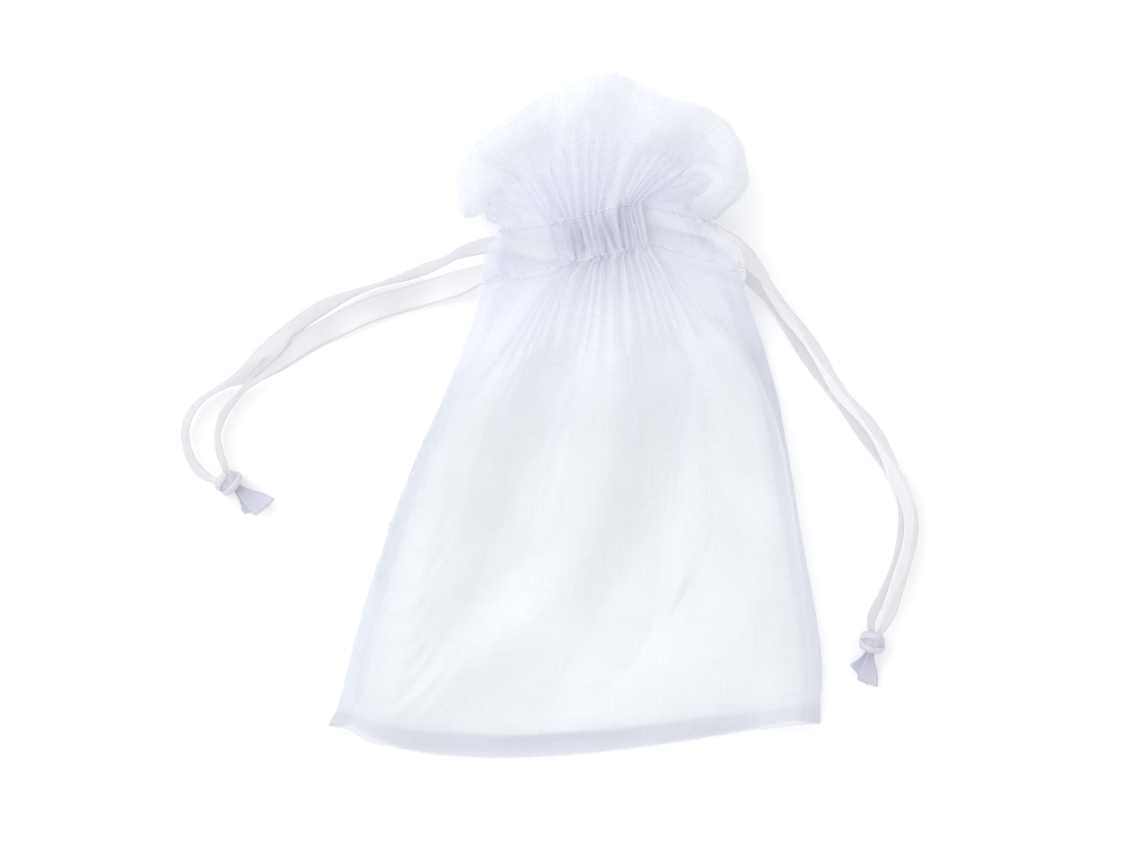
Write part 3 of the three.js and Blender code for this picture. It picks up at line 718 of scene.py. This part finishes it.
def neck_pleats(lean=0.0):
    """Depth of the gathers round the neck, -1 to 1, uneven as hand-drawn gathers are. lean shifts them
    sideways, each by its own amount, so that they don't run dead straight."""
    place = column / ROUND * PLEATS
    uneven = 0.32 * np.sin(2 * math.pi * place / 5.3 + 1.0) + 0.25 * np.sin(2 * math.pi * place / 9.1 + 2.2)
    leaning = lean * (np.sin(2 * math.pi * place / 3.7 + 0.6) + 0.6 * np.sin(2 * math.pi * place / 8.3))
    deep = 0.8 + 0.2 * np.sin(2 * math.pi * place / 4.1 + 0.9)
    return deep * np.sin(2 * math.pi * (place + uneven + leaning))


def neck_oval(along):
    """The gathered cloth round the neck at a distance along it from the casing's middle."""
    turn = math.pi + 2 * math.pi * column / ROUND
    depth = PLEAT_DEPTH / 2
    out = neck_pleats(PLEAT_LEAN * along) * depth - depth
    across = (NECK_HALF[0] + out) * np.cos(turn)
    up = -(NECK_HALF[1] + out) * np.sin(turn)
    plan = NECK_CENTRE[:2] + across[:, None] * NECK_ACROSS + along * NECK_ALONG
    return np.column_stack([plan, NECK_CENTRE[2] + up])


def casing_rows():
    """The casing's rows: an oval of gathers whose two corners are drawn out into ears."""
    rows = []
    for row in range(CASING_ROWS + 1):
        share = row / CASING_ROWS
        oval = neck_oval((share - 0.5) * CASING_LENGTH)
        for corner, ear in ((0, LEFT_EAR), (COLUMNS, RIGHT_EAR)):
            tip = np.array([np.interp(share, [0, 0.5, 1], ear[:, axis]) for axis in (0, 1)])
            gap = (column - corner + COLUMNS) % ROUND - COLUMNS
            away = np.abs(gap) * ACROSS_STEP
            pull = np.clip(1 - away / EAR_CLOTH, 0, 1) ** 0.8
            corner_point = (gap == 0)
            outwards = np.where(FRONT, 1, -1)
            drawn_folds = np.sin(2 * math.pi * (1.9 * share + 0.2 * away / EAR_CLOTH) + corner)
            folds = outwards * EAR_FOLD * drawn_folds * smoothstep(pull, 0, 0.5)
            gathers = EAR_PUCKER * neck_pleats(0.4 * share) * pull * (1 - pull)
            rise = np.where(corner_point, 0, outwards * EAR_RISE + folds + gathers)
            reached = np.column_stack([np.broadcast_to(tip, (ROUND, 2)), NECK_CENTRE[2] + rise])
            oval = oval * (1 - pull[:, None]) + reached * pull[:, None]
        rows.append(oval)
    return np.array(rows)


# Soft folds across the front: [(across, along) as shares of the body's cloth], height and half width in mm.
BROAD_FOLDS = [
    ([(0.53, 0.68), (0.50, 0.46), (0.37, 0.28), (0.20, 0.13)], 3.6, 6.5),
    ([(0.40, 0.62), (0.33, 0.45), (0.22, 0.32)], -2.6, 6.0),
    ([(0.62, 0.36), (0.54, 0.17), (0.46, 0.05)], -3.6, 6.5),
    ([(0.88, 0.42), (0.80, 0.22), (0.62, 0.09)], 2.4, 7.0),
    ([(0.72, 0.66), (0.74, 0.40)], -1.8, 6.0),
]


def broad_folds(share):
    """How much these folds raise each point of one row."""
    place = np.column_stack([U * CLOTH_WIDTH, np.full(ROUND, share * BODY_CLOTH)])
    raised = np.zeros(ROUND)
    for route, height, half_width in BROAD_FOLDS:
        points = np.array(route) * [CLOTH_WIDTH, BODY_CLOTH]
        nearest = np.full(ROUND, np.inf)
        for start, end in zip(points[:-1], points[1:]):
            line = end - start
            along = np.clip(((place - start) @ line) / (line @ line), 0, 1)
            nearest = np.minimum(nearest, np.linalg.norm(place - start - along[:, None] * line, axis=1))
        raised += height * np.exp(-((nearest / half_width) ** 2))
    return raised * smoothstep(share, 0.04, 0.2) * smoothstep(DOME, 0.1, 0.4)


BODY_CROWN = (1.2, 10.0)  # the front's height at the bottom edge, and how much it grows above that


def body_rows(left, right, bow, casing_start):
    """The body's starting shape: a flat lens that closes into the casing's first row."""
    v = np.linspace(0, 1, BODY_ROWS + 1)
    crown = BODY_CROWN[0] + BODY_CROWN[1] * smoothstep(v, 0.02, 0.42)
    rows = []
    for i, share in enumerate(v):
        plan = left[i] + U[:, None] * (right[i] - left[i])
        plan[:, 1] += bow[np.rint(U * COLUMNS).astype(int)] * (1 - share) ** 3
        seam = 0.7 + 5.6 * smoothstep(share, 0.72, 1.0)
        front = seam + (crown[i] - seam) * DOME ** (1 - 0.5 * smoothstep(share, 0.7, 1))
        back = seam * (1 - np.sqrt(DOME)) + 0.3
        height = np.where(FRONT, front, back)
        waves = neck_pleats() * (0.1 + 1.5 * smoothstep(share, 0.55, 1.0)) * np.sqrt(DOME)
        height = height + np.where(FRONT, waves, np.abs(waves) * 0.5)
        row = np.column_stack([plan, height])
        join = smoothstep(share, 0.8, 1.0)
        rows.append(row * (1 - join) + casing_start * join)
    return np.array(rows)


RIM_ANGLES = (180.5, 3.2)  # degrees, of the rim's left and right ends, seen from the frill's root
RUFFLE = 1.5  # height of the rim's waves
FRILL_CROWN = 10.0  # height of the frill's front at its root


def frill_rows(casing_end):
    """The frill's starting shape, flared from the casing's last row out to the CAD rim."""
    edges = plan_edges("front_frill", "back_frill")
    hub = NECK_CENTRE[:2] + NECK_ALONG * CASING_LENGTH / 2
    angles = np.radians(np.linspace(*RIM_ANGLES, 300))
    outline = np.array([reach(edges, hub, (math.cos(a), math.sin(a))) for a in angles])
    gone = distances(outline)
    rim = np.column_stack([np.interp(U * gone[-1], gone, outline[:, axis]) for axis in (0, 1)])
    broad_waves = np.sin(2 * math.pi * 5 * U + np.where(FRONT, 0.4, 2.6))
    ruffle = broad_waves + 0.6 * np.sin(2 * math.pi * 8.5 * U + 1.3)
    rows = []
    for row in range(1, FRILL_ROWS + 1):
        share = row / FRILL_ROWS
        start = casing_end[:, :2] + NECK_ALONG * 5 * share
        plan = start * (1 - share) ** 1.3 + rim * (1 - (1 - share) ** 1.3)
        open_height = np.where(FRONT, FRILL_CROWN - 2.5 * share, 1.0)
        edge_height = 7 - 3.5 * share
        height = edge_height + (open_height - edge_height) * np.sqrt(DOME)
        height = height + ruffle * RUFFLE * share * np.where(FRONT, 1, 0.5)
        leave = smoothstep(share, 0, 0.25)
        height = height + neck_pleats() * 1.7 * (1 - share) ** 1.2 * np.sqrt(DOME)
        height = casing_end[:, 2] * (1 - leave) + height * leave
        rows.append(np.column_stack([plan, np.maximum(height, 0.3)]))
    return np.array(rows)


# ---- The cloth solver ----

# Each step keeps the lengths between neighbours within these shares of their length laid flat.
ACROSS_LIMITS = (0.955, 1.0)
ALONG_LIMITS = (0.92, 1.0)
DIAGONAL_LIMITS = (0.93, 1.03)
# Points further apart resist bending: how many rows or columns apart, and how strongly.
ACROSS_BENDING = ((3, 0.25), (6, 0.22), (12, 0.2), (20, 0.14))
ACROSS_BEND_LIMITS = (0.95, 1.0)
ALONG_BENDING = ((2, 0.3), (5, 0.2))
ALONG_BEND_LIMITS = (0.93, 1.0)
STIFF_ROWS = (12, 44)  # from the casing's middle, where gathers give way to stiffer open cloth
KEPT_SPEED = 0.93
SINKING = 0.004  # millimetres a step, for the cloth's weight


def correction(apart, rest, limits, weight):
    """How far both ends of each of these lines move towards a length within limits times rest."""
    length = np.linalg.norm(apart, axis=-1, keepdims=True)
    wanted = np.clip(length, limits[0] * rest, limits[1] * rest)
    return 0.5 * weight * (1 - wanted / np.maximum(length, 1e-6)) * apart


def relax_pair(cloth, shift, axis, rest, limits, weight):
    """Moves points that are shift apart along an axis of the grid towards rest lengths, both ends alike.
    The cloth closes on itself across (axis 1), and is open along (axis 0)."""
    if axis == 1:
        apart = np.roll(cloth, -shift, 1) - cloth
    else:
        apart = cloth[shift:] - cloth[:-shift]
    move = correction(apart, rest, limits, weight)
    if axis == 1:
        return move - np.roll(move, shift, 1)
    total = np.zeros_like(cloth)
    total[:-shift] += move
    total[shift:] -= move
    return total


def relax_diagonal(cloth, way, rest, weight):
    """The same for each point and the one diagonally ahead of it, to the right (way 1) or left (-1)."""
    move = correction(np.roll(cloth[1:], -way, 1) - cloth[:-1], rest, DIAGONAL_LIMITS, weight)
    total = np.zeros_like(cloth)
    total[:-1] += move
    total[1:] -= np.roll(move, way, 1)
    return total


def relax(cloth, targets, outline, steps):
    """Settles the cloth. targets is a list of (rows, columns, places, weight) that hold parts of it, and
    outline is the body's left, right and bottom edges in plan."""
    row_rest = ROW_STEPS[:, None, None]
    diagonal = np.hypot(row_rest, ACROSS_STEP)
    from_casing = np.abs(np.arange(ROWS) - (CASING_FROM + CASING_ROWS / 2))
    stiff = smoothstep(from_casing, *STIFF_ROWS)[:, None, None]
    before = cloth.copy()
    for _ in range(steps):
        speed = KEPT_SPEED * (cloth - before)
        before = cloth.copy()
        cloth = cloth + speed
        cloth[..., 2] -= SINKING
        for _ in range(2):
            cloth = cloth + relax_pair(cloth, 1, 1, ACROSS_STEP, ACROSS_LIMITS, 1.0)
            cloth = cloth + relax_pair(cloth, 1, 0, row_rest, ALONG_LIMITS, 1.0)
            cloth = cloth + relax_diagonal(cloth, 1, diagonal, 0.5)
            cloth = cloth + relax_diagonal(cloth, -1, diagonal, 0.5)
        for shift, weight in ACROSS_BENDING:
            rest = shift * ACROSS_STEP
            cloth = cloth + relax_pair(cloth, shift, 1, rest, ACROSS_BEND_LIMITS, weight * stiff)
        for shift, weight in ALONG_BENDING:
            rest = (ALONG[shift:] - ALONG[:-shift])[:, None, None]
            cloth = cloth + relax_pair(cloth, shift, 0, rest, ALONG_BEND_LIMITS, weight)
        for rows, columns, places, weight in targets:
            held = cloth[rows, columns]
            cloth[rows, columns] = held + weight * (places - held)
        stay_inside(cloth, *outline)
        part_layers(cloth)
    return cloth


LAYER_GAP = 0.5  # between the middles of the front and back cloth
LOWEST = 0.25  # of the cloth's middle over the surface it lies on
FRONT_COLUMNS = np.arange(1, COLUMNS)
BACK_COLUMNS = ROUND - FRONT_COLUMNS


def stay_inside(cloth, left, right, bottom):
    """Moves body cloth that has spilled past a side seam or the bottom edge back in line with it."""
    body = cloth[:BODY_ROWS]
    lowest = np.interp(body[..., 1], left[:, 1], left[:, 0])
    highest = np.interp(body[..., 1], right[:, 1], right[:, 0])
    body[..., 0] = np.clip(body[..., 0], lowest, highest)
    body[..., 1] = np.maximum(body[..., 1], np.interp(body[..., 0], bottom[:, 0], bottom[:, 1]))


def part_layers(cloth):
    """Keeps the front over the back, and all of it on the surface."""
    front, back = cloth[:, FRONT_COLUMNS, 2], cloth[:, BACK_COLUMNS, 2]
    overlap = np.maximum(LAYER_GAP - (front - back), 0) / 2
    cloth[:, FRONT_COLUMNS, 2] = front + overlap
    cloth[:, BACK_COLUMNS, 2] = back - overlap
    cloth[..., 2] = np.maximum(cloth[..., 2], LOWEST)


# How strongly parts of the cloth are held to their places at each step, from 0 to 1.
BOTTOM_HOLD = 0.6
SIDE_HOLD = 0.3
FRILL_SIDE_HOLD = 0.12
RIM_HOLD = 0.22
FRILL_HOLD = 0.03
PUCKER_HOLD = 0.35
BAND_HOLD = 0.12 * np.array([1.0, 1.0, 0.6])
SOFT_UPWARDS = np.array([1.0, 1.0, 0.25])
BAND_SLOPE = 0.12  # of each layer, up or down from the seam
PUCKER_ROWS = 16
SETTLING_STEPS = 420


def seam_bands(body):
    """Holds the doubled cloth beside each side seam flat, which its seam allowance stiffens."""
    rows = np.arange(round(0.9 * BODY_ROWS))
    held = []
    for seam, way in ((0, 1), (COLUMNS, -1)):
        inwards = body[rows, COLUMNS // 2, :2] - body[rows, seam, :2]
        inwards = inwards / np.linalg.norm(inwards, axis=1)[:, None]
        for number in range(1, SEAM_COLUMNS + 1):
            for layer in (1, -1):
                places = body[rows, seam].copy()
                places[:, :2] += number * ACROSS_STEP * inwards
                places[:, 2] += layer * BAND_SLOPE * number * ACROSS_STEP + 0.1
                columns = (seam + layer * way * number) % ROUND
                held.append((rows, columns, places, BAND_HOLD))
    return held


def puckers(body, frill):
    """Holds the gathers' fine puckers on both sides of the casing, less and less away from it."""
    every = np.arange(ROUND)
    held = []
    for number in range(1, PUCKER_ROWS):
        weight = PUCKER_HOLD * (1 - number / PUCKER_ROWS) ** 1.5
        held.append((BODY_ROWS - number, every, body[BODY_ROWS - number].copy(), weight))
        if number <= PUCKER_ROWS // 2:
            held.append((CASING_TO + number, every, frill[number - 1].copy(), weight))
    return held


def settle_cloth():
    left, right, bow = body_targets()
    casing = casing_rows()
    body = body_rows(left, right, bow, casing[0])
    frill = frill_rows(casing[-1])
    cloth = np.concatenate([body, casing[1:], frill])
    every = np.arange(ROUND)
    body_range = np.arange(BODY_ROWS)
    casing_range = np.arange(CASING_FROM, CASING_TO + 1)
    frill_range = np.arange(CASING_TO + 1, ROWS)
    targets = [
        (casing_range[:, None], every, casing, 1.0),
        (0, every, cloth[0].copy(), BOTTOM_HOLD),
        (body_range, 0, body[:-1, 0].copy(), SIDE_HOLD * SOFT_UPWARDS),
        (body_range, COLUMNS, body[:-1, COLUMNS].copy(), SIDE_HOLD * SOFT_UPWARDS),
        *seam_bands(body),
        *puckers(body, frill),
        (ROWS - 1, every, frill[-1].copy(), RIM_HOLD * SOFT_UPWARDS),
        (frill_range[:, None], every, frill.copy(), FRILL_HOLD * SOFT_UPWARDS),
        (frill_range, 0, frill[:, 0].copy(), FRILL_SIDE_HOLD * SOFT_UPWARDS),
        (frill_range, COLUMNS, frill[:, COLUMNS].copy(), FRILL_SIDE_HOLD * SOFT_UPWARDS),
    ]
    steps = SETTLING_STEPS
    edges = (body[:-1, 0], body[:-1, COLUMNS], body[0, :COLUMNS + 1])
    cloth = relax(cloth, targets, [edge[:, :2].copy() for edge in edges], steps)
    for row in range(BODY_ROWS):
        cloth[row, FRONT, 2] += broad_folds(row / BODY_ROWS)[FRONT]
    part_layers(cloth)
    return cloth


cloth = settle_cloth()

# ---- Pieces of cloth ----


def cloth_uv(rows, columns):
    """Cloth coordinates in metres: across and along the flat cut."""
    across = columns * ACROSS_STEP * MM
    along = ALONG[rows] * MM
    return np.stack(np.meshgrid(across, along), -1)


def outward_normals():
    along = np.gradient(cloth, axis=0)
    across = (np.roll(cloth, -1, 1) - np.roll(cloth, 1, 1)) / 2
    return unit(np.cross(across, along))


OUTWARDS = outward_normals()


def cut(name, rows, columns, material, outwards=0.0):
    """A piece of the settled cloth, moved outwards by some millimetres."""
    picked = np.ix_(rows, columns % ROUND)
    piece = grid_mesh(name, cloth[picked] + outwards * OUTWARDS[picked], cloth_uv(rows, columns), material)
    finish_cloth(piece)
    return piece


def finish_cloth(piece):
    rounded = piece.modifiers.new("rounded", "SUBSURF")
    rounded.levels = rounded.render_levels = 1
    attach(piece, POUCH)


def make_body_cloth(side, columns):
    body = np.arange(0, BODY_ROWS + 1)
    piece = cut(side + "_body_cloth", body, columns, BODY_ORGANZA)
    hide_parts(side + "_panel")


LINING_DEPTH = 2.6  # room for the ribbons between the casing's two layers
LINING_GAP = 0.3  # between the frill's two layers


def open_mouths(piece):
    """Lifts the ends of a casing cloth between its stitch rows, where the side seam is left unsewn."""
    width = COLUMNS + 1
    for row in range(1, CASING_ROWS):
        for end, beside in ((0, 1), (COLUMNS, COLUMNS - 1)):
            piece.data.vertices[row * width + end].co.z = piece.data.vertices[row * width + beside].co.z


def make_casing_cloth(side, columns):
    casing = np.arange(CASING_FROM, CASING_TO + 1)
    outer = cut(side + "_casing_cloth", casing, columns, CASING_ORGANZA)
    open_mouths(outer)
    inner = cut(side + "_casing_lining", casing, columns, CASING_ORGANZA, -LINING_DEPTH)
    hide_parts(side + "_casing", "left_" + side + "_sleeve", "right_" + side + "_sleeve")


def make_frill_cloth(side, columns):
    frill = np.arange(CASING_TO, ROWS)
    outer = cut(side + "_frill_cloth", frill, columns, FRILL_ORGANZA)
    inner = cut(side + "_frill_lining", frill[:-1], columns, FRILL_ORGANZA, -LINING_GAP)
    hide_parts(side + "_frill")


for side, columns in (("front", np.arange(0, COLUMNS + 1)), ("back", np.arange(COLUMNS, ROUND + 1))):
    make_body_cloth(side, columns)
    make_casing_cloth(side, columns)
    make_frill_cloth(side, columns)

# ---- Seams and stitching ----


def tubes(name, paths, radius, material):
    """One mesh of thin round threads, one for each path, in millimetres."""
    sides = 6
    turn = 2 * math.pi * np.arange(sides) / sides
    points, faces = [], []
    for path in paths:
        path = np.asarray(path, float)
        tangent = unit(np.gradient(path, axis=0))
        side = unit(np.cross(tangent, [0.31, 0.17, 0.93]))
        up = np.cross(side, tangent)
        ring = side[:, None] * np.cos(turn)[:, None] + up[:, None] * np.sin(turn)[:, None]
        first = len(points)
        points.extend((path[:, None] + radius * ring).reshape(-1, 3))
        index = first + np.arange(len(path) * sides).reshape(len(path), sides)
        turned = np.roll(index, -1, axis=1)
        quads = np.stack([index[:-1], turned[:-1], turned[1:], index[1:]], -1).reshape(-1, 4)
        faces.extend(quads.tolist())
        faces.append(index[0][::-1].tolist())
        faces.append(index[-1].tolist())
    return new_mesh(name, np.array(points) * MM, faces, material)


def thread_piece(name, paths, radius):
    piece = tubes(name, paths, radius, THREAD)
    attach(piece, POUCH)
    return piece


def on_cloth(row, column, outwards):
    """A point of the settled cloth between its rows and columns."""
    low_row = min(int(row), ROWS - 2)
    low_column = math.floor(column)
    across, along = column - low_column, row - low_row
    corner = [cloth[r, c % ROUND] + outwards * OUTWARDS[r, c % ROUND]
              for r in (low_row, low_row + 1) for c in (low_column, low_column + 1)]
    lower = corner[0] * (1 - across) + corner[1] * across
    upper = corner[2] * (1 - across) + corner[3] * across
    return lower * (1 - along) + upper * along


STITCH = 2  # columns that one stitch spans, and its gap one more
THREAD_RADIUS = 0.09
STITCH_RISE = 0.22  # of a stitch's middle over its ends
STITCH_ENDS = 0.04  # height of its ends over the cloth, low enough that the thread's underside dips in


def stitch_row(name, node, row):
    """Straight stitches round the gathers, each dipping into the cloth at both ends."""
    paths = []
    for start in range(0, ROUND, STITCH + 1):
        shares = np.linspace(0, 1, 5)
        heights = STITCH_RISE * np.sin(math.pi * shares) + STITCH_ENDS
        paths.append([on_cloth(row, start + STITCH * t, height) for t, height in zip(shares, heights)])
    piece = thread_piece(name, paths, THREAD_RADIUS)
    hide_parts(node)


stitch_row("lower_stitches", "lower_stitch_row", CASING_FROM)
stitch_row("upper_stitches", "upper_stitch_row", CASING_TO)

SEAM_ROWS = 3  # that the bottom seam allowance spans
SEAM_THREAD_RADIUS = 0.1


def between_layers(rows, shares):
    """Points midway between the front and the back, at numbers of columns in from a side seam."""
    front = cloth[np.ix_(rows, shares)]
    back = cloth[np.ix_(rows, (ROUND - shares) % ROUND)]
    return (front + back) / 2


def side_allowance(name, node, shares):
    """The strip of both cloths inside a side seam, with its seam stitch and the overlock on its edge."""
    rows = np.arange(0, BODY_ROWS + 1)
    middle = between_layers(rows, shares)
    inwards = unit(middle[:, -1:] - middle[:, :1])
    band = middle[:, :1] + inwards * (ACROSS_STEP * np.arange(len(shares)))[None, :, None]
    piece = grid_mesh(name, band, cloth_uv(rows, shares), SHADED_SEAM_ORGANZA)
    finish_cloth(piece)
    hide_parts(node)
    zigzag = [band[row, -1 if row % 2 else -3] for row in rows]
    straight = band[:, 1]
    thread_piece(name + "_overlock", [zigzag], SEAM_THREAD_RADIUS)
    thread_piece(name + "_seam_stitch", [straight], SEAM_THREAD_RADIUS)


side_allowance("left_seam_allowance", "left_side_seam", np.arange(0, SEAM_COLUMNS + 1))
side_allowance("right_seam_allowance", "right_side_seam", COLUMNS - np.arange(0, SEAM_COLUMNS + 1))


def bottom_allowance():
    """The same inside the bottom seam."""
    rows = np.arange(0, SEAM_ROWS + 1)
    shares = np.arange(0, COLUMNS + 1)
    middle = between_layers(rows, shares)
    piece = grid_mesh("bottom_seam_allowance", middle, cloth_uv(rows, shares), SHADED_SEAM_ORGANZA)
    finish_cloth(piece)
    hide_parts("bottom_seam")
    thread_piece("bottom_seam_stitch", [middle[1]], SEAM_THREAD_RADIUS)
    zigzag = [middle[-1 if c % 2 else -2, c] for c in shares]
    thread_piece("bottom_overlock", [zigzag], SEAM_THREAD_RADIUS)


bottom_allowance()

# ---- The ribbons' hidden turns ----

LOOP_INSET = 3.2  # in from the outside of the gathers
LOOP_WIDTH = 3.4  # the ribbon is bunched narrower inside the casing
LOOP_LANE = 1.8  # along the neck from the casing's middle, one ribbon to each side
LOOP_OPENING = math.radians(42)  # to each side of the mouth that the ribbon leaves by


def ribbon_loop(name, node, side, lane):
    """The ribbon's hidden turn round the neck, inside the casing, open towards its own side."""
    middle = math.pi if side < 0 else 0.0
    turn = np.linspace(middle + LOOP_OPENING, middle + 2 * math.pi - LOOP_OPENING, 150)
    crumple = 0.25 * np.sin(19 * turn) + 0.15 * np.sin(31 * turn + 1)
    across = (NECK_HALF[0] - LOOP_INSET + crumple) * np.cos(turn)
    up = (NECK_HALF[1] - LOOP_INSET + crumple) * np.sin(turn)
    plan = NECK_CENTRE[:2] + across[:, None] * NECK_ACROSS + lane * NECK_ALONG
    path = np.column_stack([plan, NECK_CENTRE[2] + up]) * MM
    along_neck = np.broadcast_to([*NECK_ALONG, 0.0], path.shape)
    piece = strip_mesh(name, path, distances(path), along_neck, LOOP_WIDTH * MM, RIBBON_THICKNESS * MM,
                       SATIN, curl=0.3 * MM)
    ribbon_piece(piece, POUCH, node)


ribbon_loop("left_loop_ribbon", "left_ribbon_loop", -1, -LOOP_LANE)
ribbon_loop("right_loop_ribbon", "right_ribbon_loop", 1, LOOP_LANE)
